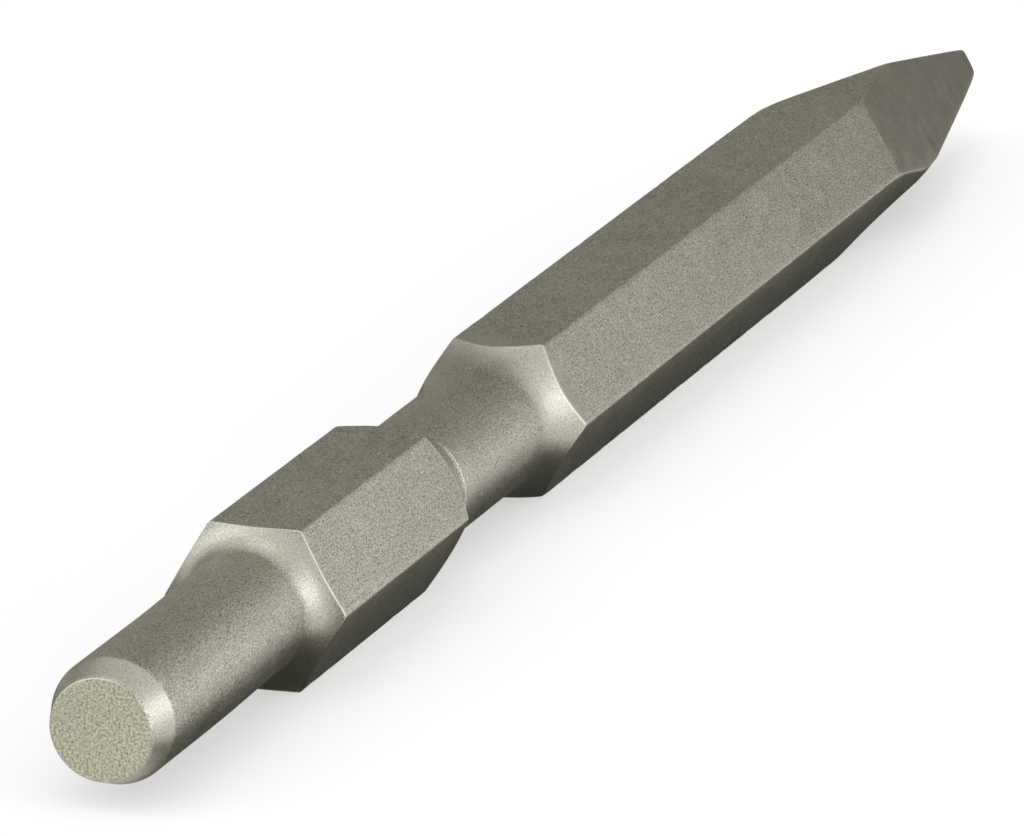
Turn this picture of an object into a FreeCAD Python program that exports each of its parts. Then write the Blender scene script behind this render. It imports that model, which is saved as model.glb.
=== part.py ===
"""Point chisel bit with a hexagonal shank, forged and turned from one bar of steel.

Frame: millimetres, +Z up. The origin is the centre of the striking face, on the
tool's axis, and +X runs along the axis to the point. The bit lies on one flat.
"""

import FreeCAD
import Part
import Sketcher
import math
import os
import sys

# Driving dimensions. Lengths follow each other along the axis from the striking face.
SIZES = [
    ("across_flats", 17.0, "hexagon bar, flat to flat"),
    ("overall_length", 280.0, "striking face to point"),
    ("edge_radius", 0.6, "rolled corners of the hexagon bar"),
    ("face_diameter", 10.5, "flat striking face"),
    ("chamfer_length", 3.5, "cone round the striking face"),
    ("chamfer_radius", 1.2, "soft edge from the cone to the pilot"),
    ("face_radius", 0.25, "broken edge of the striking face"),
    ("pilot_diameter", 13.0, "round pilot that slides in the hammer's sleeve"),
    ("pilot_length", 42.5, "striking face to the shank's shoulder"),
    ("pilot_cove", 3.5, "cove where the pilot meets the shoulder"),
    ("shank_length", 36.3, "hexagon corners of the driven shank"),
    ("shoulder_angle", 40.0, "cone at the shank's far end, from the axis"),
    ("relief_length", 7.2, "shank corners to the ledge of the neck"),
    ("ledge_depth", 0.12, "step that the turning tool left"),
    ("neck_diameter", 14.0, "round neck that clears the retainer"),
    ("neck_length", 23.4, "straight neck, ledge to cove"),
    ("neck_cove", 9.0, "cove where the neck swells into the body"),
    ("cove_angle", 60.0, "how far that cove turns before it leaves the bar"),
    ("facet_angle", 7.5, "each point facet, from the axis"),
    ("run_out_radius", 60.0, "long curve where a facet runs out into the bar"),
    ("run_out_rise", 0.05, "how far above the bar that curve would level out"),
    ("corner_facet_turn", -30.0, "facet on a corner, turned about the axis from straight up"),
    ("flat_facet_turn", 60.0, "facet on a flat, turned about the axis from straight up"),
    ("tip_width", 3.1, "square across the blunt tip"),
    ("tip_radius", 0.5, "broken edges of the tip"),
]

FACETS_OF_A_KIND = 2

doc = FreeCAD.newDocument("point_chisel_bit")

sheet = doc.addObject("Spreadsheet::Sheet", "sizes")
for number, (alias, value, note) in enumerate(SIZES, start=1):
    sheet.set("A%d" % number, note)
    sheet.set("B%d" % number, str(value))
    sheet.setAlias("B%d" % number, alias)
doc.recompute()

body = doc.addObject("PartDesign::Body", "chisel_bit")
body.Label = "chisel_bit"


def origin(role):
    """Plane or axis of the body's own origin."""
    return next(item for item in body.Origin.OriginFeatures if item.Role == role)


def new_sketch(name, role):
    """Empty sketch on one of the body's origin planes."""
    sketch = body.newObject("Sketcher::SketchObject", name)
    sketch.AttachmentSupport = [(origin(role), "")]
    sketch.MapMode = "FlatFace"
    return sketch


def size(alias):
    """Value of a driving dimension."""
    return float(sheet.get(alias))


def point(x, y):
    return FreeCAD.Vector(x, y, 0)


def add_line(sketch, start, end):
    return sketch.addGeometry(Part.LineSegment(point(*start), point(*end)), False)


def add_arc(sketch, centre, radius, from_degrees, to_degrees):
    """Arc of a circle that runs counter-clockwise between two angles."""
    circle = Part.Circle(point(*centre), FreeCAD.Vector(0, 0, 1), radius)
    arc = Part.ArcOfCircle(circle, math.radians(from_degrees), math.radians(to_degrees))
    return sketch.addGeometry(arc, False)


def constrain(sketch, *values):
    return sketch.addConstraint(Sketcher.Constraint(*values))


def dimension(sketch, kind, name, places, value, formula):
    """Dimension whose value follows the sheet."""
    index = constrain(sketch, kind, *places, value)
    sketch.renameConstraint(index, name)
    sketch.setExpression("Constraints." + name, formula)


# A sketch's own origin point, as its constraints name it
ORIGIN = (-1, 1)

# From the axis to a sharp corner of the hexagon
CORNER_FORMULA = "sizes.across_flats / 2 / cos(30)"


def hexagon_section():
    """Section of the bar: corners on a circle, one of them on the Y axis."""
    sketch = new_sketch("bar_section", "YZ_Plane")
    corner = size("across_flats") / 2 / math.cos(math.radians(30))
    corners = []
    for step in range(7):
        angle = math.radians(60 * step)
        corners.append((corner * math.cos(angle), corner * math.sin(angle)))
    sides = [add_line(sketch, corners[i], corners[i + 1]) for i in range(6)]
    circle = Part.Circle(point(0, 0), FreeCAD.Vector(0, 0, 1), corner)
    ring = sketch.addGeometry(circle, True)
    constrain(sketch, "Coincident", ring, 3, *ORIGIN)
    for i in range(6):
        constrain(sketch, "Coincident", sides[i], 2, sides[(i + 1) % 6], 1)
        constrain(sketch, "PointOnObject", sides[i], 1, ring)
        if i:
            constrain(sketch, "Equal", sides[0], sides[i])
    constrain(sketch, "Horizontal", *ORIGIN, sides[0], 1)
    dimension(sketch, "Radius", "corner_radius", [ring], corner, CORNER_FORMULA)
    return sketch


def pilot_outline():
    """What is turned off the bar to leave the chamfered pilot and its cove."""
    face = size("face_diameter") / 2
    chamfer = size("chamfer_length")
    pilot = size("pilot_diameter") / 2
    end = size("pilot_length")
    cove = size("pilot_cove")
    outside = pilot + cove + size("across_flats") / 2
    sketch = new_sketch("pilot_outline", "XZ_Plane")
    cone = add_line(sketch, (0, face), (chamfer, pilot))
    side = add_line(sketch, (chamfer, pilot), (end - cove, pilot))
    bend = add_arc(sketch, (end - cove, pilot + cove), cove, 270, 360)
    shoulder = add_line(sketch, (end, pilot + cove), (end, outside))
    top = add_line(sketch, (end, outside), (0, outside))
    front = add_line(sketch, (0, outside), (0, face))
    constrain(sketch, "Coincident", cone, 2, side, 1)
    constrain(sketch, "Tangent", side, 2, bend, 1)
    constrain(sketch, "Tangent", bend, 2, shoulder, 1)
    constrain(sketch, "Coincident", shoulder, 2, top, 1)
    constrain(sketch, "Coincident", top, 2, front, 1)
    constrain(sketch, "Coincident", front, 2, cone, 1)
    constrain(sketch, "Horizontal", side)
    constrain(sketch, "Vertical", shoulder)
    constrain(sketch, "Horizontal", top)
    constrain(sketch, "Vertical", *ORIGIN, front, 1)
    constrain(sketch, "Vertical", *ORIGIN, cone, 1)
    dimension(sketch, "DistanceY", "face", [*ORIGIN, cone, 1], face, "sizes.face_diameter / 2")
    dimension(sketch, "DistanceX", "chamfer", [*ORIGIN, side, 1], chamfer, "sizes.chamfer_length")
    dimension(sketch, "DistanceY", "pilot", [*ORIGIN, side, 1], pilot, "sizes.pilot_diameter / 2")
    dimension(sketch, "Radius", "cove", [bend], cove, "sizes.pilot_cove")
    dimension(sketch, "DistanceX", "length", [*ORIGIN, shoulder, 1], end, "sizes.pilot_length")
    formula = "sizes.pilot_diameter / 2 + sizes.pilot_cove + sizes.across_flats / 2"
    dimension(sketch, "DistanceY", "outside", [*ORIGIN, top, 1], outside, formula)
    return sketch


def neck_outline():
    """What is turned off between shank and body: cone, relief, ledge, neck and long cove."""
    corner = size("across_flats") / 2 / math.cos(math.radians(30))
    corner_at = size("pilot_length") + size("shank_length")
    ledge_at = corner_at + size("relief_length")
    cove_at = ledge_at + size("neck_length")
    neck = size("neck_diameter") / 2
    relief = neck - size("ledge_depth")
    outside = corner + neck
    slope = math.radians(size("shoulder_angle"))
    meet = corner_at + (corner - relief) / math.tan(slope)
    bend = (ledge_at - meet) / math.tan(slope / 2)
    bend_start = (ledge_at - bend * math.sin(slope), relief + bend * (1 - math.cos(slope)))
    cone_top = corner_at - (outside - corner) / math.tan(slope)
    cove = size("neck_cove")
    turn = math.radians(size("cove_angle"))
    cove_end = (cove_at + cove * math.sin(turn), neck + cove * (1 - math.cos(turn)))
    rise_top = cove_end[0] + (outside - cove_end[1]) / math.tan(turn)

    sketch = new_sketch("neck_outline", "XZ_Plane")
    cone = add_line(sketch, (cone_top, outside), bend_start)
    hollow = add_arc(sketch, (ledge_at, relief + bend), bend, 270 - math.degrees(slope), 270)
    ledge = add_line(sketch, (ledge_at, relief), (ledge_at, neck))
    side = add_line(sketch, (ledge_at, neck), (cove_at, neck))
    swell = add_arc(sketch, (cove_at, neck + cove), cove, 270, 270 + math.degrees(turn))
    rise = add_line(sketch, cove_end, (rise_top, outside))
    top = add_line(sketch, (rise_top, outside), (cone_top, outside))
    corner_mark = sketch.addGeometry(Part.Point(point(corner_at, corner)), True)
    constrain(sketch, "Tangent", cone, 2, hollow, 1)
    constrain(sketch, "Coincident", hollow, 2, ledge, 1)
    constrain(sketch, "Vertical", hollow, 3, hollow, 2)
    constrain(sketch, "Coincident", ledge, 2, side, 1)
    constrain(sketch, "Tangent", side, 2, swell, 1)
    constrain(sketch, "Tangent", swell, 2, rise, 1)
    constrain(sketch, "Coincident", rise, 2, top, 1)
    constrain(sketch, "Coincident", top, 2, cone, 1)
    constrain(sketch, "Vertical", ledge)
    constrain(sketch, "Horizontal", side)
    constrain(sketch, "Horizontal", top)
    constrain(sketch, "PointOnObject", corner_mark, 1, cone)
    dimension(sketch, "DistanceX", "corner_at", [*ORIGIN, corner_mark, 1], corner_at,
              "sizes.pilot_length + sizes.shank_length")
    dimension(sketch, "DistanceY", "corner", [*ORIGIN, corner_mark, 1], corner, CORNER_FORMULA)
    dimension(sketch, "Angle", "shoulder", [cone, 1, top, 2], slope, "sizes.shoulder_angle")
    dimension(sketch, "DistanceX", "relief", [corner_mark, 1, ledge, 1],
              size("relief_length"), "sizes.relief_length")
    dimension(sketch, "DistanceY", "step", [ledge, 1, ledge, 2],
              size("ledge_depth"), "sizes.ledge_depth")
    dimension(sketch, "DistanceY", "neck", [*ORIGIN, side, 1], neck, "sizes.neck_diameter / 2")
    dimension(sketch, "DistanceX", "length", [side, 1, side, 2],
              size("neck_length"), "sizes.neck_length")
    dimension(sketch, "Radius", "cove", [swell], cove, "sizes.neck_cove")
    dimension(sketch, "Angle", "turn", [side, rise], turn, "sizes.cove_angle")
    dimension(sketch, "DistanceY", "outside", [*ORIGIN, top, 1], outside,
              CORNER_FORMULA + " + sizes.neck_diameter / 2")
    return sketch


def facet_outline(name, turn_alias, bar_radius, bar_formula):
    """Wedge that is ground away above one facet, with its long run-out into the bar."""
    end = size("overall_length")
    tip = size("tip_width") / 2
    slope = math.radians(size("facet_angle"))
    curve = size("run_out_radius")
    level = bar_radius + size("run_out_rise")
    outside = size("across_flats")
    bend_end = level - curve * (1 - math.cos(slope))
    bend_end_at = end - (bend_end - tip) / math.tan(slope)
    level_at = bend_end_at - curve * math.sin(slope)
    sketch = new_sketch(name, "XZ_Plane")
    turn = FreeCAD.Rotation(FreeCAD.Vector(1, 0, 0), size(turn_alias))
    sketch.AttachmentOffset = FreeCAD.Placement(FreeCAD.Vector(0, 0, 0), turn)
    sketch.setExpression(".AttachmentOffset.Rotation.Angle", "sizes." + turn_alias)
    facet = add_line(sketch, (bend_end_at, bend_end), (end, tip))
    front = add_line(sketch, (end, tip), (end, outside))
    top = add_line(sketch, (end, outside), (level_at, outside))
    back = add_line(sketch, (level_at, outside), (level_at, level))
    bend = add_arc(sketch, (level_at, level - curve), curve, 90 - math.degrees(slope), 90)
    constrain(sketch, "Coincident", facet, 2, front, 1)
    constrain(sketch, "Coincident", front, 2, top, 1)
    constrain(sketch, "Coincident", top, 2, back, 1)
    constrain(sketch, "Coincident", back, 2, bend, 2)
    constrain(sketch, "Tangent", bend, 1, facet, 1)
    constrain(sketch, "Vertical", front)
    constrain(sketch, "Horizontal", top)
    constrain(sketch, "Vertical", back)
    constrain(sketch, "Vertical", bend, 3, bend, 2)
    dimension(sketch, "DistanceX", "length", [*ORIGIN, front, 1], end, "sizes.overall_length")
    dimension(sketch, "DistanceY", "tip", [*ORIGIN, front, 1], tip, "sizes.tip_width / 2")
    dimension(sketch, "DistanceY", "outside", [*ORIGIN, front, 2], outside, "sizes.across_flats")
    dimension(sketch, "Angle", "slope", [facet, 1, top, 2], slope, "sizes.facet_angle")
    dimension(sketch, "Radius", "run_out", [bend], curve, "sizes.run_out_radius")
    dimension(sketch, "DistanceY", "level", [*ORIGIN, back, 2], level,
              bar_formula + " + sizes.run_out_rise")
    return sketch


def edges_where(feature, test):
    """Names of the edges of a feature that pass a test."""
    found = []
    for number, edge in enumerate(feature.Shape.Edges, start=1):
        if test(edge):
            found.append("Edge%d" % number)
    return found


def at_station(edge, x):
    """True for an edge that lies in the plane across the axis at x."""
    box = edge.BoundBox
    return abs(box.XMin - x) < 0.01 and abs(box.XMax - x) < 0.01


def round_edges(name, base, test, alias):
    """Fillet on the edges of the last feature that pass a test."""
    fillet = body.newObject("PartDesign::Fillet", name)
    fillet.Base = (base, edges_where(base, test))
    fillet.Radius = size(alias)
    fillet.setExpression("Radius", "sizes." + alias)
    doc.recompute()
    return fillet


def turn_off(name, sketch):
    """Groove that turns an outline off the bar, all the way round the axis."""
    groove = body.newObject("PartDesign::Groove", name)
    groove.Profile = sketch
    groove.ReferenceAxis = (sketch, ["H_Axis"])
    groove.Angle = 360
    doc.recompute()
    return groove


def grind(name, sketch):
    """Pocket that takes a wedge off the bar, right across it."""
    pocket = body.newObject("PartDesign::Pocket", name)
    pocket.Profile = sketch
    pocket.Type = "ThroughAll"
    pocket.Midplane = True
    doc.recompute()
    return pocket


def repeat_round(name, feature):
    """The same cut again on the far side of the axis."""
    pattern = body.newObject("PartDesign::PolarPattern", name)
    pattern.Originals = [feature]
    pattern.Axis = (origin("X_Axis"), [""])
    pattern.Angle = 360
    pattern.Occurrences = FACETS_OF_A_KIND
    body.Tip = pattern
    doc.recompute()
    return pattern


# The hexagon bar, with the slightly rounded corners of rolled stock
section = hexagon_section()
bar = body.newObject("PartDesign::Pad", "bar")
bar.Profile = section
bar.Length = size("overall_length")
bar.setExpression("Length", "sizes.overall_length")
doc.recompute()
rolled = round_edges("rolled_corners", bar,
                     lambda edge: edge.BoundBox.XLength > size("overall_length") / 2, "edge_radius")

# The striking end: chamfered pilot, then the neck between shank and body
pilot = turn_off("turned_pilot", pilot_outline())
neck = turn_off("turned_neck", neck_outline())
soft_chamfer = round_edges("soft_chamfer", neck,
                           lambda edge: at_station(edge, size("chamfer_length")), "chamfer_radius")
soft_face = round_edges("soft_face", soft_chamfer,
                        lambda edge: at_station(edge, 0), "face_radius")

# The square point: facets on two opposite corners, then facets on two opposite flats
corner_cut = grind("corner_facet", facet_outline("corner_facet_outline", "corner_facet_turn",
                   size("across_flats") / 2 / math.cos(math.radians(30)), CORNER_FORMULA))
corner_cuts = repeat_round("corner_facets", corner_cut)
flat_cut = grind("flat_facet", facet_outline("flat_facet_outline", "flat_facet_turn",
                 size("across_flats") / 2, "sizes.across_flats / 2"))
flat_cuts = repeat_round("flat_facets", flat_cut)
blunt_tip = round_edges("blunt_tip", flat_cuts,
                        lambda edge: at_station(edge, size("overall_length")), "tip_radius")
body.Tip = blunt_tip
doc.recompute()


def check(objects, shapes):
    """Stop when a feature failed or a sub-part has no sound solid."""
    for item in objects:
        if "Invalid" in item.State or "Error" in item.State:
            sys.exit("feature failed: %s %s" % (item.Name, item.State))
    for item in shapes:
        if item.Shape.isNull() or not item.Shape.isValid() or len(item.Shape.Solids) != 1:
            sys.exit("no sound solid: " + item.Name)


check(doc.Objects, [body])

# Each cut has to leave less steel than the feature before it
steps = [bar, rolled, pilot, neck, soft_chamfer, soft_face,
         corner_cut, corner_cuts, flat_cut, flat_cuts, blunt_tip]
for before, after in zip(steps, steps[1:]):
    if after.Shape.Volume >= before.Shape.Volume:
        sys.exit("no material removed by " + after.Name)

os.makedirs("parts", exist_ok=True)
body.Shape.exportStep("parts/%s.step" % body.Label)

box = body.Shape.optimalBoundingBox()
print("length %.2f, width %.2f, height %.2f mm" % (box.XLength, box.YLength, box.ZLength))
print("x %.2f to %.2f, z %.2f to %.2f mm" % (box.XMin, box.XMax, box.ZMin, box.ZMax))
print("volume %.0f cubic mm" % body.Shape.Volume)
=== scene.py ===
"""Looks of the point chisel bit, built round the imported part.

Metres, in the part's own frame: +X from the striking face to the point, +Z up,
with the bit lying on one flat of its hexagon. Outlines are worked out in millimetres.
Directions round the axis are angles from +Y towards +Z.
"""

import math
from collections import namedtuple

import bpy
import numpy as np
from mathutils import Matrix, Vector


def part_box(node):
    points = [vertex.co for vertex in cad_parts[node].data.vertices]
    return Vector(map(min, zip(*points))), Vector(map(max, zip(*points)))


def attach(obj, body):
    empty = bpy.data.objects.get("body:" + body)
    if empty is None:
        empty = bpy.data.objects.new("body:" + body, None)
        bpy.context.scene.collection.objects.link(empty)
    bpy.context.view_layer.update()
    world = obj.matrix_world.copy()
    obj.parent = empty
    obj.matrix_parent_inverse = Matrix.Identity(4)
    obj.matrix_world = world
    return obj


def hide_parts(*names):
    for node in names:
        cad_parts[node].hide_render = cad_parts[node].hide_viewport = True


MM = 0.001
IMAGE_WIDTH = 1024

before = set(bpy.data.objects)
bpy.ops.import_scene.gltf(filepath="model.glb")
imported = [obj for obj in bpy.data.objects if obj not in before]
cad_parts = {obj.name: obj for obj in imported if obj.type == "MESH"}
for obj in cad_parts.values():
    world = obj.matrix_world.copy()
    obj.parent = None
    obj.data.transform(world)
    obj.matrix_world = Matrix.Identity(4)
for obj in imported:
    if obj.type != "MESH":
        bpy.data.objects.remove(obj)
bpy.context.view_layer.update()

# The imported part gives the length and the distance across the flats
lowest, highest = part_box("chisel_bit")
LENGTH = (highest.x - lowest.x) / MM
FLAT = (highest.z - lowest.z) / MM / 2
CORNER = FLAT / math.cos(math.radians(30))

# Striking face, cone and pilot: radii, and stations along the axis
FACE_RADIUS = 5.25
FACE_EDGE = 0.12
FACE_DISH = 0.03
CONE_END = 3.5
CONE_SOFT = 0.25
PILOT = 6.5
PILOT_START = 4.3
PILOT_END = 42.5
PILOT_COVE = 3.5
PILOT_OFF_Y = -0.20
PILOT_OFF_Z = -0.17
CENTRED_FROM = 20
CENTRED_LENGTH = 20

# Shank and neck, with the cone and the hollow between them
SHANK_END = 78.8
SHOULDER_SLOPE = math.radians(40)
LEDGE_AT = 86.0
LEDGE = 0.12
LEDGE_LEAD = 0.55
NECK = 7.0
NECK_START = LEDGE_AT + 3.6
NECK_END = 109.4
NECK_COVE = 9.0
BEVEL = 0.1
BEVEL_UNEVEN = 0.5

# The swell at the neck's far end starts earlier and is wider on one side
SWELL_EARLIER = 2.6
SWELL_WIDER = 5.0
SWELL_FROM = 0.1
SWELL_DONE = 117.0

# Turning rings at the ledge: station from the ledge, and height above the hollow's foot
LEDGE_RINGS = [(-0.50, 0.010), (-0.42, 0.050), (-0.38, 0.055), (-0.30, 0.028), (-0.12, 0.025), (-0.05, 0.085),
               (0.02, 0.100), (0.10, 0.100), (0.30, 0.100), (1.2, LEDGE), (2.2, LEDGE), (3.2, LEDGE)]

# Directions of the hexagon's flats
FLATS = np.radians([30, 90, 150, 210, 270, 330])
BULGING_FLAT = 3

# The point was ground by hand. Each facet has its direction, the bar's radius there, the radius of the
# curve in which it runs out, its slope from the axis, and its distance from the axis at the tip
Facet = namedtuple("Facet", "direction level run_out slope tip")
FACETS = [
    Facet(math.radians(60), CORNER, 100.0, math.radians(8.18), 1.16),
    Facet(math.radians(150), FLAT, 18.0, math.radians(7.12), 1.85),
    Facet(math.radians(240), CORNER, 60.0, math.radians(6.65), 2.60),
    Facet(math.radians(330), FLAT, 18.0, math.radians(7.30), 1.85),
]
MEAN_SLOPE = math.radians(7.27)
RUN_OUT_RISE = 0.05
TIP = 1.75
TIP_ROUND = 0.4

# One flat bulges beside the point, as the square of the distance from a station, up to a limit
BULGE = 0.76
BULGE_FROM = 224
BULGE_LENGTH = 14.5
BULGE_LIMIT = 1.2

# Power of the smooth minimum that rounds the section's corners: high is sharp, on the bar, at the tip,
# and for each millimetre by which the point widens
BAR_POWER = 73.0
TIP_POWER = 4.2
POWER_STEP = 8.6
POWER_REACH = 7.5
POWER_FROM = 229
POWER_LENGTH = 22

# Columns of the mesh, placed by the section at a station on the plain bar: part evenly, part by its bends
COLUMNS = 192
CURVATURE_SHARE = 0.34
FINE_ANGLES = 5760
PLAIN_STATION = 160.0

# Rows of the mesh's parts, and the gaps left where a straight stretch meets a curve
POINT_START = 205.0
POINT_ROWS = 112
FACE_ROWS = 22
EDGE_ROWS = 6
CONE_ROWS = 8
SOFT_ROWS = 7
COVE_ROWS = 22
SWELL_ROWS = 30
TIP_ROWS = 7
TIP_RINGS = 5
CONE_GAP = 0.1
PILOT_GAP = 0.2
NECK_GAP = 0.3

# Sides of the bit, in degrees: start, end, and how softly they end. The face's rim is worn bright with
# painted highlight on its upper side, the ledge carries rings painted bright, and the lit side's crease
# bevels get painted highlight
Side = namedtuple("Side", "start end soft")
RIM_HIGHLIGHT_SIDE = Side(20, 100, 20)
RING_SIDE = Side(135, 195, 20)
LIT_SIDE = Side(122, 182, 10)

# Random unevenness: seed, step along the axis in millimetres, and steps round it
Noise = namedtuple("Noise", "seed step columns")
EDGE_NOISE = Noise(3, 1.7, 6)
NICK_NOISE = Noise(8, 2.6, 6)
WAVE_NOISE = Noise(5, 7.0, 9)
RIPPLE_NOISE = Noise(6, 2.4, 24)
BEVEL_NOISE = Noise(11, 1.0, 40)
NOISE_ROWS = 512

# Wear of the rolled corners and the creases, and waviness: depths, stations and stretches in millimetres
CORNER_TURN = math.radians(60)
CORNER_WIDTH = math.radians(1.9)
ROUGH_DEPTH = 0.08
NICK_DEPTH = 0.22
NICK_FROM = 0.55
UPPER_WEAR = 0.4
LOWER_WEAR = 0.3
WEAR_TURN = math.radians(10)
WEAR_SHIFT = 0.3
WORN_SHANK = (PILOT_END + 1, SHANK_END - 0.8)
SHANK_EASE = 2
BODY_EASE = 3
WORN_SHORT_OF_TIP = 1
WORN_ABOVE_NECK = 1
WAVE_DEPTH = 0.010
RIPPLE_DEPTH = 0.006
WAVES_FROM_FACE = 0.4
WAVES_SHORT_OF_TIP = 0.7
# Painted highlight on the crease bevels of the lit side, and on the ledge's rings
BEVEL_HIGHLIGHT = 1.0
RING_HIGHLIGHT = 0.2

# Places worn round: depth, station and length in millimetres, direction and width in radians
Spot = namedtuple("Spot", "depth station length direction width")
SWELL_CORNER = Spot(0.08, 115.6, 1.2, math.radians(240), 0.12)
POINT_CORNER = Spot(0.3, 241.5, 3.0, math.radians(197), 0.12)

# Stretches that were turned smooth: start, end, and how softly each begins and stops
Turned = namedtuple("Turned", "start end ease_in ease_out")
TURNED_STRETCHES = [
    Turned(0.2, CONE_END, 0.2, 0.2),
    Turned(PILOT_END - PILOT_COVE, PILOT_END, 1.5, 0.1),
    Turned(NECK_END, SWELL_DONE, 1.5, 0.5),
]
TURNED_SHARE = 0.6

# The ground facets' colour starts at a station, and ends this far below a facet's plane
GROUND_FROM = 214
GROUND_LENGTH = 4
GROUND_DEPTH = 0.04
GROUND_SOFT = 0.03

# Edges that bend by more than this are shaded sharp
SHARP_ANGLE = math.radians(38)


def smooth_share(t):
    """Ease from 0 to 1."""
    t = np.clip(t, 0, 1)
    return t * t * (3 - 2 * t)


def rise(x, start, length):
    """Ease from 0 to 1 over a length after a station."""
    return smooth_share((x - start) / length)


def fall(x, end, length):
    """Ease from 1 to 0 over a length before a station."""
    return smooth_share((end - x) / length)


def window(angle, side):
    """1 on a side of the bit, easing to 0 beyond it."""
    turn = np.degrees(angle) % 360
    return smooth_share((turn - side.start) / side.soft + 1) * smooth_share((side.end - turn) / side.soft + 1)


def value_noise(noise, x, angle):
    """Smooth noise from -1 to 1 over the bar's surface, closed round the axis."""
    table = np.random.RandomState(noise.seed).uniform(-1, 1, (NOISE_ROWS, noise.columns))
    u = np.asarray(x) / noise.step + NOISE_ROWS
    v = np.asarray(angle) / (2 * math.pi) * noise.columns
    u0 = np.floor(u).astype(int)
    v0 = np.floor(v).astype(int)

    def between_rows(column):
        share = smooth_share(u - u0)
        column = column % noise.columns
        return table[u0 % NOISE_ROWS, column] * (1 - share) + table[(u0 + 1) % NOISE_ROWS, column] * share

    share = smooth_share(v - v0)
    return between_rows(v0) * (1 - share) + between_rows(v0 + 1) * share


def facet_height(x, facet):
    """Distance from the axis of a ground facet, with the curve where it runs out into the bar."""
    level = facet.level + RUN_OUT_RISE
    bend_end = level - facet.run_out * (1 - math.cos(facet.slope))
    bend_end_at = LENGTH - (bend_end - facet.tip) / math.tan(facet.slope)
    level_at = bend_end_at - facet.run_out * math.sin(facet.slope)
    before = level + (level_at - x) ** 2 / (2 * facet.run_out)
    along = np.clip(x - level_at, 0, facet.run_out * math.sin(facet.slope))
    bend = level - facet.run_out + np.sqrt(facet.run_out ** 2 - along ** 2)
    plane = facet.tip + (LENGTH - x) * math.tan(facet.slope)
    return np.where(x < level_at, before, np.where(x < bend_end_at, bend, plane))


def sharpness(x):
    """Power of the smooth minimum at a station."""
    widening = (LENGTH - x) * math.tan(MEAN_SLOPE)
    point = TIP_POWER + POWER_STEP * np.clip(widening, 0, POWER_REACH)
    share = rise(x, POWER_FROM, POWER_LENGTH)
    return BAR_POWER * (1 - share) + point * share


def bulge(x):
    """How far one flat stands out beside the point."""
    return BULGE * np.clip((x - BULGE_FROM) / BULGE_LENGTH, 0, BULGE_LIMIT) ** 2


def bar_radius(x, angle):
    """Distance from the axis to the hexagon bar and its ground point."""
    x = np.asarray(x, float)
    power = sharpness(x)
    sides = [(direction, FLAT) for direction in FLATS]
    sides[BULGING_FLAT] = (FLATS[BULGING_FLAT], FLAT + bulge(x))
    sides += [(facet.direction, facet_height(x, facet)) for facet in FACETS]
    total = 0
    for direction, height in sides:
        total = total + (np.maximum(np.cos(angle - direction), 0) / height) ** power
    return total ** (-1 / power)


def column_angles(x):
    """Angles of the mesh's columns at a station, closest together where the section bends most."""
    angle = FACETS[0].direction + np.linspace(0, 2 * math.pi, FINE_ANGLES + 1)
    radius = bar_radius(np.full_like(angle, x), angle)
    heading = np.unwrap(np.arctan2(np.diff(radius * np.sin(angle)), np.diff(radius * np.cos(angle))))
    bend = np.abs(np.diff(np.append(heading, heading[0] + 2 * math.pi)))
    bend = (np.roll(bend, 1) + bend) / 2
    weight = (1 - CURVATURE_SHARE) * 2 * math.pi / FINE_ANGLES + CURVATURE_SHARE * bend
    filled = np.concatenate([[0], np.cumsum(weight)])
    wanted = np.arange(COLUMNS) / COLUMNS * filled[-1]
    return np.interp(wanted, filled, angle)


def spot_wear(x, angle, spot):
    """Depth of a place that is worn round, in millimetres."""
    along = (x - spot.station) / spot.length
    across = (angle - spot.direction) / spot.width
    return spot.depth * np.exp(-along ** 2 - across ** 2)


def edge_wear(x, angle):
    """How far the rolled corners are knocked back on the shank and the body, in millimetres."""
    turn = angle - CORNER_TURN * np.round(angle / CORNER_TURN)
    at_corner = np.exp(-(turn / CORNER_WIDTH) ** 2)
    rough = np.maximum(value_noise(EDGE_NOISE, x, angle), 0) ** 2
    nick = np.maximum(value_noise(NICK_NOISE, x, angle) - NICK_FROM, 0)
    amount = UPPER_WEAR + LOWER_WEAR * smooth_share(-np.sin(angle + WEAR_TURN) + WEAR_SHIFT)
    on_shank = rise(x, WORN_SHANK[0], SHANK_EASE) * fall(x, WORN_SHANK[1], SHANK_EASE)
    on_body = rise(x, SWELL_DONE, BODY_EASE)
    wear = at_corner * (ROUGH_DEPTH * rough + NICK_DEPTH * nick) * amount * (on_body + on_shank)
    return wear + spot_wear(x, angle, SWELL_CORNER)


def waviness(x, angle):
    """Slow unevenness of the forged and blasted surface, in millimetres."""
    waves = WAVE_DEPTH * (1 + value_noise(WAVE_NOISE, x, angle))
    return waves + RIPPLE_DEPTH * (1 + value_noise(RIPPLE_NOISE, x, angle))


def off_centre(x):
    """How far the turned pilot lies off the bar's axis, along Y and Z."""
    pilot = 1 - rise(x, CENTRED_FROM, CENTRED_LENGTH)
    return PILOT_OFF_Y * pilot, PILOT_OFF_Z * pilot


def tip_middle():
    """Middle of the blunt tip, along Y and Z, from the heights of opposite facets."""
    corner, flat, far_corner, far_flat = FACETS
    to_far_corner = (far_corner.tip - corner.tip) / 2
    to_flat = (flat.tip - far_flat.tip) / 2
    return (to_far_corner * math.cos(far_corner.direction) + to_flat * math.cos(flat.direction),
            to_far_corner * math.sin(far_corner.direction) + to_flat * math.sin(flat.direction))


class Skin:
    """Rows of the bit's surface, from the middle of the striking face to the middle of the tip."""

    NAMES = ("x", "r", "angle", "wear")

    def __init__(self):
        self.rows = {name: [] for name in self.NAMES}

    def add(self, x, r, angle, wear=0.0):
        """Add one row, or several, with the amount of bright wear and painted highlight."""
        for name, part in zip(self.NAMES, np.broadcast_arrays(x, r, angle, wear)):
            self.rows[name].append(np.array(np.atleast_2d(part), float))

    def joined(self):
        """All rows of each name, in one array."""
        return [np.concatenate(self.rows[name]) for name in self.NAMES]


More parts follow.
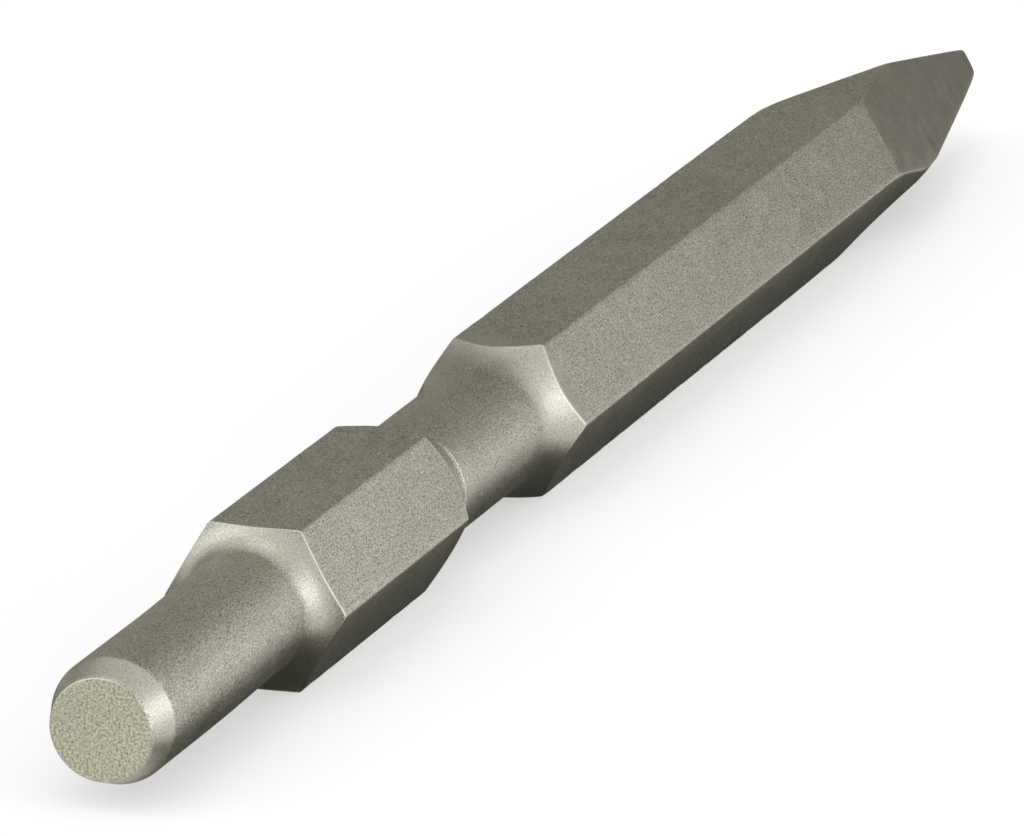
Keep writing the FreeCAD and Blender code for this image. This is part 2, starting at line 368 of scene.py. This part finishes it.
def round_corner(start, corner, end, t):
    """Points of a curve that leaves one line at its start and meets the other at its end."""
    return (1 - t) ** 2 * start + 2 * t * (1 - t) * corner + t ** 2 * end


def crease(before, corner, after, width, rows=4):
    """Worn bevel in place of a sharp crease, as a short curve at each column."""
    def towards(a, b):
        length = np.maximum(np.hypot(b[0] - a[0], b[1] - a[1]), 1e-9)
        return (b[0] - a[0]) / length, (b[1] - a[1]) / length

    into = towards(before, corner)
    out = towards(corner, after)
    t = np.linspace(0, 1, rows)[:, None]
    return [round_corner(corner[axis] - width * into[axis], corner[axis], corner[axis] + width * out[axis], t)
            for axis in (0, 1)]


def spread(start, end, rows, ease):
    """Stations between two edges at each column, closer together near both where ease is near 1."""
    t = np.linspace(0, 1, rows)
    t = (1 - ease) * t + ease * smooth_share(t)
    return start + (end - start) * t[:, None]


def add_striking_face(skin, angle):
    """Slightly hollow face, its broken edge, the cone and the soft edge into the pilot."""
    cone = math.atan2(PILOT - FACE_RADIUS, CONE_END)
    flat_radius = FACE_RADIUS - FACE_EDGE
    rings = np.linspace(0, flat_radius, FACE_ROWS)[1:, None]
    skin.add(FACE_DISH * (1 - smooth_share(rings / flat_radius)), rings, angle)

    turn = np.linspace(0, math.pi / 2 - cone, EDGE_ROWS)[1:, None]
    edge_x = FACE_EDGE * (1 - np.cos(turn))
    # The rim's upper side is painted bright: partly wear, partly painted highlight
    skin.add(edge_x, flat_radius + FACE_EDGE * np.sin(turn), angle, window(angle, RIM_HIGHLIGHT_SIDE))

    along = np.linspace(edge_x[-1, 0] + CONE_GAP, CONE_END - CONE_SOFT, CONE_ROWS)[:, None]
    skin.add(along, FACE_RADIUS + along * math.tan(cone), angle)

    t = np.linspace(0, 1, SOFT_ROWS)[1:, None]
    soft_x = round_corner(CONE_END - CONE_SOFT, CONE_END, CONE_END + CONE_SOFT, t)
    soft_r = round_corner(PILOT - CONE_SOFT * math.tan(cone), PILOT, PILOT, t)
    skin.add(soft_x, soft_r, angle)


def cove(start, low, radius, top, rows):
    """Turned cove from a cylinder up to the bar, at each column."""
    end = np.arccos(np.clip((low + radius - top) / radius, -1, 1))
    turn = np.linspace(0, 1, rows)[:, None] * end
    return start + radius * np.sin(turn), low + radius * (1 - np.cos(turn))


def relief(top, rows):
    """Cone and hollow from the shank's far end down to the ledge, at each column."""
    low = NECK - LEDGE
    meet = SHANK_END + (CORNER - low) / math.tan(SHOULDER_SLOPE)
    bend = (LEDGE_AT - meet) / math.tan(SHOULDER_SLOPE / 2)
    centre = low + bend
    cone_low = centre - bend * math.cos(SHOULDER_SLOPE)
    on_cone = SHANK_END + (CORNER - top) / math.tan(SHOULDER_SLOPE)
    on_hollow = LEDGE_AT - np.sqrt(np.maximum(bend ** 2 - (centre - top) ** 2, 0))
    x = spread(np.where(top > cone_low, on_cone, on_hollow), LEDGE_AT - LEDGE_LEAD, rows, ease=0.0)
    hollow = centre - np.sqrt(np.maximum(bend ** 2 - (LEDGE_AT - x) ** 2, 0))
    cone = CORNER - (x - SHANK_END) * math.tan(SHOULDER_SLOPE)
    return x, np.where(x < LEDGE_AT - bend * math.sin(SHOULDER_SLOPE), cone, hollow)


def add_neck_ledge(skin, angle):
    """Ledge where the hollow meets the neck: two fine rings on one side, a plain rise on the other."""
    first, last = LEDGE_RINGS[0][0], LEDGE_RINGS[-1][0]
    share = window(angle, RING_SIDE)
    for station, height in LEDGE_RINGS:
        plain = LEDGE * rise(station, first, last - first)
        radius = NECK - LEDGE + plain + (height - plain) * share
        # The rings are painted bright: painted highlight on the side facing the lamps
        skin.add(LEDGE_AT + station, radius, angle, RING_HIGHLIGHT * share)


def build_skin():
    """All rows of the bit, from the striking face to the tip."""
    skin = Skin()
    angle = column_angles(PLAIN_STATION)
    top = bar_radius(np.full(COLUMNS, PLAIN_STATION), angle)
    early = rise(np.cos(angle - FACETS[0].direction), SWELL_FROM, 1 - SWELL_FROM)
    swell_start = NECK_END - SWELL_EARLIER * early
    near_x, near_r = cove(PILOT_END - PILOT_COVE, PILOT, PILOT_COVE, top, COVE_ROWS)
    relief_x, relief_r = relief(top, COVE_ROWS)
    swell_x, swell_r = cove(swell_start, NECK, NECK_COVE + SWELL_WIDER * early, top, SWELL_ROWS)
    shank_x = spread(near_x[-1], relief_x[0], rows=54, ease=0.5)
    body_x = spread(swell_x[-1], POINT_START, rows=100, ease=0.35)
    bevel = BEVEL * (1 + BEVEL_UNEVEN * value_noise(BEVEL_NOISE, 0 * angle, angle))

    def add_crease(before, corner, after):
        worn_x, worn_r = crease(before, corner, after, bevel)
        # Painted highlight on the bevel, on the lit side only
        skin.add(worn_x, worn_r, angle, BEVEL_HIGHLIGHT * window(angle, LIT_SIDE))

    add_striking_face(skin, angle)
    skin.add(spread(PILOT_START, PILOT_END - PILOT_COVE - PILOT_GAP, rows=40, ease=0.3), PILOT, angle)
    skin.add(near_x[:-1], near_r[:-1], angle)
    add_crease((near_x[-2], near_r[-2]), (near_x[-1], top), (shank_x[1], top))
    skin.add(shank_x[1:-1], top, angle)
    add_crease((shank_x[-2], top), (relief_x[0], top), (relief_x[1], relief_r[1]))
    skin.add(relief_x[1:], relief_r[1:], angle)
    add_neck_ledge(skin, angle)
    skin.add(spread(NECK_START, swell_start - NECK_GAP, rows=26, ease=0.3), NECK, angle)
    skin.add(swell_x[:-1], swell_r[:-1], angle)
    add_crease((swell_x[-2], swell_r[-2]), (swell_x[-1], top), (body_x[1], top))
    skin.add(body_x[1:], top, angle)
    add_point(skin)
    return skin


def add_point(skin):
    """Ground square point, with its columns gathered along the facets' edges, and the blunt tip."""
    for x in np.linspace(POINT_START, LENGTH - TIP_ROUND, POINT_ROWS)[1:]:
        angle = column_angles(x)
        base = bar_radius(np.full(COLUMNS, x), angle)
        skin.add(x, base, angle)
    middle = tip_middle()
    out = base * np.cos(angle) - middle[0], base * np.sin(angle) - middle[1]

    def add_ring(x, share):
        y, z = middle[0] + out[0] * share, middle[1] + out[1] * share
        skin.add(x, np.hypot(y, z), np.arctan2(z, y))

    for turn in np.linspace(0, math.pi / 2, TIP_ROWS)[1:]:
        inset = TIP_ROUND * (1 - math.cos(turn))
        add_ring(LENGTH - TIP_ROUND + TIP_ROUND * math.sin(turn), 1 - inset / TIP)
    for share in np.linspace(1, 0, TIP_RINGS)[1:-1]:
        add_ring(LENGTH, share * (1 - TIP_ROUND / TIP))


def ground_share(x, y, z):
    """1 on the facets that were ground after blasting, 0 on the bar."""
    share = np.zeros_like(x)
    for facet in FACETS:
        out = y * math.cos(facet.direction) + z * math.sin(facet.direction)
        below = facet_height(x, facet) - out
        share = np.maximum(share, smooth_share(1 - (below - GROUND_DEPTH) / GROUND_SOFT))
    return share * rise(x, GROUND_FROM, GROUND_LENGTH)


def turned_grain(x):
    """How much of the blasted grain shows: less on the cone and the coves, which were turned smooth."""
    smooth = np.zeros_like(x)
    for turned in TURNED_STRETCHES:
        here = rise(x, turned.start, turned.ease_in) * fall(x, turned.end, turned.ease_out)
        smooth = np.maximum(smooth, here)
    return 1 - TURNED_SHARE * smooth


def make_mesh(name, skin):
    """Closed mesh of quads over the rows, with a fan at each end."""
    x, r, angle, wear = skin.joined()
    hexagonal = (x > PILOT_END) & (x < LENGTH - WORN_SHORT_OF_TIP) & (r > NECK + WORN_ABOVE_NECK)
    r = r - np.where(hexagonal, edge_wear(x, angle), 0)
    wavy = (x > WAVES_FROM_FACE) & (x < LENGTH - WAVES_SHORT_OF_TIP)
    r = r - np.where(wavy, waviness(x, angle), 0)
    off_y, off_z = off_centre(x)

    def place(radius):
        y = radius * np.cos(angle) + off_y
        z = radius * np.sin(angle) + off_z
        return np.stack([x, y, z], -1).reshape(-1, 3)

    ends = np.array([[FACE_DISH, *off_centre(0.0)], [LENGTH, *tip_middle()]])
    ground = ground_share(*np.concatenate([place(r), ends]).T)
    points = np.concatenate([place(r - spot_wear(x, angle, POINT_CORNER)), ends]) * MM

    index = np.arange(x.size).reshape(x.shape)
    after = np.roll(index, -1, axis=1)
    quads = np.stack([index[:-1], index[1:], after[1:], after[:-1]], -1).reshape(-1, 4)
    first, last = x.size, x.size + 1
    faces = [tuple(quad) for quad in quads.tolist()]
    faces += [(first, int(a), int(b)) for a, b in zip(index[0], after[0])]
    faces += [(last, int(b), int(a)) for a, b in zip(index[-1], after[-1])]
    mesh = bpy.data.meshes.new(name)
    mesh.from_pydata(points.tolist(), [], faces)
    mesh.validate()

    wear = np.append(wear.ravel(), [0, 0])
    grain = turned_grain(points[:, 0] / MM)
    for label, values in (("wear", wear), ("ground", ground), ("grain", grain)):
        attribute = mesh.attributes.new(label, "FLOAT", "POINT")
        attribute.data.foreach_set("value", values.astype(np.float32))
    mesh.polygons.foreach_set("use_smooth", [True] * len(mesh.polygons))
    mesh.set_sharp_from_angle(angle=SHARP_ANGLE)
    piece = bpy.data.objects.new(name, mesh)
    bpy.context.scene.collection.objects.link(piece)
    return piece


def new_material(name):
    """Material with an empty node tree, and a helper that adds a node and fills its inputs.

    An input is named, or given by its number after the letter i, as a value or as another node's output.
    """
    material = bpy.data.materials.new(name)
    material.use_nodes = True
    tree = material.node_tree
    tree.nodes.clear()

    def node(kind, settings=None, **inputs):
        made = tree.nodes.new(kind)
        for key, value in (settings or {}).items():
            setattr(made, key, value)
        for key, value in inputs.items():
            numbered = key[0] == "i" and key[1:].isdigit()
            socket = made.inputs[int(key[1:]) if numbered else key]
            if isinstance(value, bpy.types.NodeSocket):
                tree.links.new(value, socket)
            else:
                socket.default_value = value
        return made

    return material, node


# Colours of the steel: blasted, turned smooth, on the striking face, ground, and worn bright with painted
# highlight
BLASTED_DARK = (0.400, 0.390, 0.330, 1)
BLASTED_LIGHT = (0.425, 0.415, 0.347, 1)
TURNED = (0.46, 0.445, 0.375, 1)
FACE = (0.397, 0.391, 0.297, 1)
GROUND = (0.284, 0.280, 0.232, 1)
WORN_AND_HIGHLIGHT = (0.62, 0.61, 0.57, 1)

# Middle range of a noise, which is spread over the whole range of a colour or depth
NOISE_LOW = 0.25
NOISE_HIGH = 0.75

# The grain's depth on ground facets and on the striking face, against 1 on blasted steel
GROUND_GRAIN = 0.5
FACE_GRAIN = 0.7

# The striking face ends between these two stations, in metres
FACE_FULL = 0.00003
FACE_GONE = 0.00012


def steel_material():
    """Shot-blasted tool steel, coarser on the striking face and smoother on the ground facets."""
    material, node = new_material("blasted_steel")
    place = node("ShaderNodeTexCoord").outputs["Object"]

    def attribute(name):
        return node("ShaderNodeAttribute", {"attribute_name": name}).outputs["Fac"]

    def noise(scale, detail, roughness):
        made = node("ShaderNodeTexNoise", None, Vector=place, Scale=scale, Detail=detail, Roughness=roughness)
        return made.outputs[0]

    def map_range(value, low_in, high_in, low, high):
        made = node("ShaderNodeMapRange", {"clamp": True}, i0=value, i1=low_in, i2=high_in, i3=low, i4=high)
        return made.outputs[0]

    def amount(value, low, high):
        return map_range(value, NOISE_LOW, NOISE_HIGH, low, high)

    def calculate(operation, a, b):
        return node("ShaderNodeMath", {"operation": operation}, i0=a, i1=b).outputs[0]

    def blend(factor, a, b):
        return node("ShaderNodeMix", {"data_type": "FLOAT"}, i0=factor, i2=a, i3=b).outputs[0]

    def mix(factor, a, b, kind="MIX"):
        made = node("ShaderNodeMix", {"data_type": "RGBA", "blend_type": kind}, i0=factor, i6=a, i7=b)
        return made.outputs[2]

    def shade(factor, colour, value):
        grey = node("ShaderNodeCombineColor", None, i0=value, i1=value, i2=value).outputs[0]
        return mix(factor, colour, grey, "MULTIPLY")

    ground = attribute("ground")
    wear = attribute("wear")
    blasted = attribute("grain")
    along = node("ShaderNodeSeparateXYZ", i0=place).outputs[0]
    on_face = map_range(along, FACE_GONE, FACE_FULL, 0.0, 1.0)

    fine = noise(scale=5600.0, detail=1.5, roughness=0.6)
    coarse = noise(scale=3900.0, detail=1.5, roughness=0.55)
    grain = blend(on_face, fine, coarse)
    patches = noise(scale=420.0, detail=2.0, roughness=0.5)
    slow = noise(scale=60.0, detail=1.0, roughness=0.5)
    grain_depth = blend(ground, blasted, GROUND_GRAIN)
    grain_depth = blend(on_face, grain_depth, FACE_GRAIN)

    colour = mix(amount(patches, 0.0, 1.0), BLASTED_DARK, BLASTED_LIGHT)
    colour = mix(calculate("SUBTRACT", 1.0, blasted), colour, TURNED)
    colour = mix(on_face, colour, FACE)
    colour = mix(ground, colour, GROUND)
    specks = calculate("MULTIPLY", amount(grain, -0.75, 0.75), grain_depth)
    colour = shade(1.0, colour, calculate("ADD", specks, 1.0))
    colour = shade(1.0, colour, amount(slow, 0.96, 1.04))
    colour = shade(ground, colour, amount(patches, 0.88, 1.12))
    # Bright colour where the wear attribute is set: wear on the rim, and painted highlight on the lit bevels,
    # the rim's upper side and the ledge rings
    colour = mix(calculate("MULTIPLY", wear, 0.6), colour, WORN_AND_HIGHLIGHT)

    height = calculate("MULTIPLY", grain, grain_depth)
    bump = node("ShaderNodeBump", None, Strength=0.8, Distance=0.00007, Height=height).outputs[0]
    shader = node("ShaderNodeBsdfPrincipled", None, Metallic=1.0, Roughness=amount(patches, 0.36, 0.42),
                  Normal=bump)
    material.node_tree.links.new(colour, shader.inputs["Base Color"])
    node("ShaderNodeOutputMaterial", None, Surface=shader.outputs[0])
    return material


def plain_material(name, colour, glow):
    """Material of one colour, matt where glow is 0 and only glowing where it is 1."""
    material, node = new_material(name)
    matt = node("ShaderNodeBsdfDiffuse", None, Color=(*colour, 1))
    bright = node("ShaderNodeEmission", None, Color=(*colour, 1), Strength=1.0)
    shader = node("ShaderNodeMixShader", None, i0=glow, i1=matt.outputs[0], i2=bright.outputs[0])
    node("ShaderNodeOutputMaterial", None, Surface=shader.outputs[0])
    material.cycles.emission_sampling = "NONE"
    return material


def add_turned(name, data, centre, axis):
    """Object at a place, with its local Z along an axis."""
    made = bpy.data.objects.new(name, data)
    made.location = centre
    made.rotation_mode = "QUATERNION"
    made.rotation_quaternion = axis.to_track_quat("Z", "Y")
    bpy.context.scene.collection.objects.link(made)
    return made


def add_card(name, centre, facing, width, height, material):
    """Flat stage card that faces a point."""
    mesh = bpy.data.meshes.new(name)
    corners = [(-width / 2, -height / 2, 0), (width / 2, -height / 2, 0),
               (width / 2, height / 2, 0), (-width / 2, height / 2, 0)]
    mesh.from_pydata(corners, [], [(0, 1, 2, 3)])
    mesh.materials.append(material)
    card = add_turned(name, mesh, centre, Vector(facing) - Vector(centre))
    return card


def add_gloss_card(name, centre, facing, width, height, material):
    """Glowing card that only the metal's reflections show: a painted reflection, or painted shade where it is
    dark.
    """
    card = add_card(name, centre, facing, width, height, material)
    card.visible_camera = False
    card.visible_diffuse = False
    card.visible_shadow = False
    card.visible_transmission = False


def add_lamp(lamp, facing):
    """Soft box that faces a point: an area lamp of a given brightness, which lights the floor less."""
    data = bpy.data.lights.new(lamp.name, "AREA")
    data.shape = "RECTANGLE"
    data.size = lamp.width
    data.size_y = lamp.height
    data.energy = lamp.radiance * math.pi * lamp.width * lamp.height
    data.color = lamp.colour
    data.diffuse_factor = DIFFUSE_SHARE
    centre = facing + Vector(lamp.offset)
    add_turned(lamp.name, data, centre, centre - facing)


# The photograph's camera, fitted to it: place in millimetres, view, roll and focal length in pixels
CAMERA_AT = Vector((-904.81, -359.29, 311.52))
CAMERA_VIEW = Vector((0.90681, 0.31795, -0.27678))
CAMERA_ROLL = math.radians(-0.307)
FOCAL_PIXELS = 10606.2
SENSOR_WIDTH = 36


def add_camera():
    """The photograph's camera: about a metre away with a long lens, looking down along the bit."""
    centre = CAMERA_AT * MM
    view = CAMERA_VIEW.normalized()
    right = view.cross(Vector((0, 0, 1))).normalized()
    right = Matrix.Rotation(CAMERA_ROLL, 3, view) @ right
    up = right.cross(view)
    data = bpy.data.cameras.new("camera")
    data.sensor_width = SENSOR_WIDTH
    data.lens = FOCAL_PIXELS / IMAGE_WIDTH * SENSOR_WIDTH
    data.clip_start = 0.1
    data.clip_end = 60
    camera = bpy.data.objects.new("camera", data)
    turn = Matrix((right, up, -view)).transposed()
    camera.matrix_world = Matrix.Translation(centre) @ turn.to_4x4()
    bpy.context.scene.collection.objects.link(camera)
    bpy.context.scene.camera = camera


# Soft boxes: place from the bit's middle and size in metres, brightness and colour
Lamp = namedtuple("Lamp", "name offset width height radiance colour")
LAMPS = [
    Lamp("key", (0.0, -1.3, 0.26), 1.9, 0.95, 1.6, (0.92, 0.92, 1.0)),
    Lamp("overhead", (-0.3, 0.1, 1.6), 0.9, 0.9, 0.7, (1, 1, 1)),
    Lamp("fill", (-0.75, 0.8, 0.6), 1.0, 0.9, 0.9, (1, 1, 1)),
]
DIFFUSE_SHARE = 0.3

# The floor's size, how far it lies below the bit, and the height above the bit's underside of the low dark
# card of painted shade
FLOOR_SIZE = 30
FLOOR_GAP = 0.00005
CARD_LIFT = 0.0001


def add_studio():
    """Pale floor, even pale surroundings, soft boxes, and glowing cards that only the metal reflects: painted
    reflection behind and beside the bit, painted shade under it.
    """
    middle = Vector((LENGTH / 2, 0, 0)) * MM
    white = plain_material("floor_white", (0.96, 0.96, 0.96), glow=0.5)
    add_card("floor", (middle.x, 0, lowest.z - FLOOR_GAP), (middle.x, 0, 1), FLOOR_SIZE, FLOOR_SIZE, white)

    world = bpy.data.worlds.new("studio")
    world.use_nodes = True
    background = world.node_tree.nodes["Background"]
    background.inputs["Color"].default_value = (1, 1, 1, 1)
    background.inputs["Strength"].default_value = 1.0
    bpy.context.scene.world = world

    for lamp in LAMPS:
        add_lamp(lamp, middle)

    shade_card_material = plain_material("painted_shade_card", (0.065, 0.065, 0.06), glow=1.0)
    reflection_card_material = plain_material("painted_reflection_card", (0.32, 0.305, 0.265), glow=1.0)
    card_z = lowest.z + CARD_LIFT
    # Glowing cards behind and beside the bit, seen only in the metal: painted reflection of darker
    # surroundings
    add_gloss_card("painted_reflection_behind", (0.42, 0.26, 0.29), (0.0, 0.26, 0.29), 0.85, 0.6, reflection_card_material)
    add_gloss_card("painted_reflection_beside", (0.28, 0.45, 0.15), (0.28, 0.0, 0.15), 0.28, 0.32, reflection_card_material)
    # Dark glowing card under the bit, seen only in the metal: painted shade where the floor lies in the bit's
    # shadow
    add_gloss_card("painted_shade_under_bit", (0.205, 0.046, card_z), (0.205, 0.046, 1), 0.4, 0.128, shade_card_material)


bpy.context.scene.view_settings.view_transform = "Standard"
bit = make_mesh("chisel_bit_steel", build_skin())
bit.data.materials.append(steel_material())
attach(bit, "root")
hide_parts("chisel_bit")
add_studio()
add_camera()
